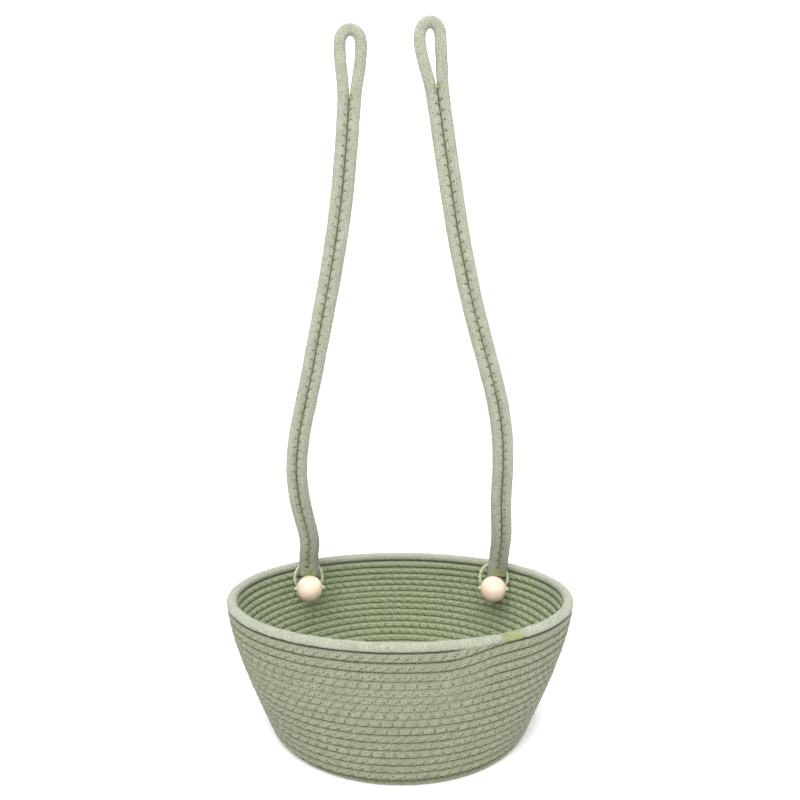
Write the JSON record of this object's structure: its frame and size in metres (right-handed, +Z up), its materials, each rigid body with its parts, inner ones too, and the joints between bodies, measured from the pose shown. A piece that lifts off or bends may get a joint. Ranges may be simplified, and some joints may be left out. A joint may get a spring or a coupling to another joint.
{
  "type": "hanging rope basket",
  "caption": "Hanging planter basket of coiled, zigzag-sewn cotton rope with looped rope straps that button over wooden beads inside the rear rim.",
  "frame": {"origin": "centre of the flat underside, where the basket rests", "axes": "+Z up along the straps, +X to the right seen from the front, +Y to the rear, where the straps and beads are"},
  "size_m": [0.264, 0.1952, 0.5216],
  "materials": {
    "cotton_rope": "matte twisted and knitted sage green cotton",
    "rim_cotton_rope": "matte pale sage green cotton",
    "thin_cord": "matte light green braided cord",
    "sewing_thread": "yellow-green polyester sewing thread",
    "bead_wood": "smooth pale unvarnished wood"
  },
  "bodies": {
    "basket": {"basket_base": "cotton_rope", "basket_wall": "cotton_rope", "rim_rope": "rim_cotton_rope", "rim_tack": "sewing_thread", "left_bead_cord": "thin_cord", "left_bead_knot": "thin_cord", "right_bead_cord": "thin_cord", "right_bead_knot": "thin_cord"},
    "left_button_loop": {"left_button_loop": "thin_cord"},
    "left_strap": {"left_strap_rope": "cotton_rope", "left_end_tack": "sewing_thread", "left_loop_tack": "sewing_thread"},
    "left_bead": {"left_bead": "bead_wood"},
    "right_button_loop": {"right_button_loop": "thin_cord"},
    "right_strap": {"right_strap_rope": "cotton_rope", "right_end_tack": "sewing_thread", "right_loop_tack": "sewing_thread"},
    "right_bead": {"right_bead": "bead_wood"}
  },
  "joints": [
    {"name": "left_loop_swing", "type": "hinge", "parent": "basket", "child": "left_button_loop", "pos_m": [-0.0744, 0.0436, 0.0874], "axis": [0.1478, -0.989, 0], "range_deg": [-2, 20]},
    {"name": "left_strap_fold", "type": "hinge", "parent": "left_button_loop", "child": "left_strap", "pos_m": [-0.0748, 0.0508, 0.1025], "axis": [1, 0, 0], "range_deg": [-20, 50]},
    {"name": "left_bead_spin", "type": "hinge", "parent": "basket", "child": "left_bead", "pos_m": [-0.0744, 0.0436, 0.0874], "axis": [0.989, 0.1478, 0], "continuous": true},
    {"name": "right_loop_swing", "type": "hinge", "parent": "basket", "child": "right_button_loop", "pos_m": [0.0766, 0.0426, 0.0874], "axis": [0.1478, 0.989, 0], "range_deg": [-2, 20]},
    {"name": "right_strap_fold", "type": "hinge", "parent": "right_button_loop", "child": "right_strap", "pos_m": [0.079, 0.0498, 0.1025], "axis": [1, 0, 0], "range_deg": [-20, 50]},
    {"name": "right_bead_spin", "type": "hinge", "parent": "basket", "child": "right_bead", "pos_m": [0.0766, 0.0426, 0.0874], "axis": [0.989, -0.1478, 0], "continuous": true}
  ]
}
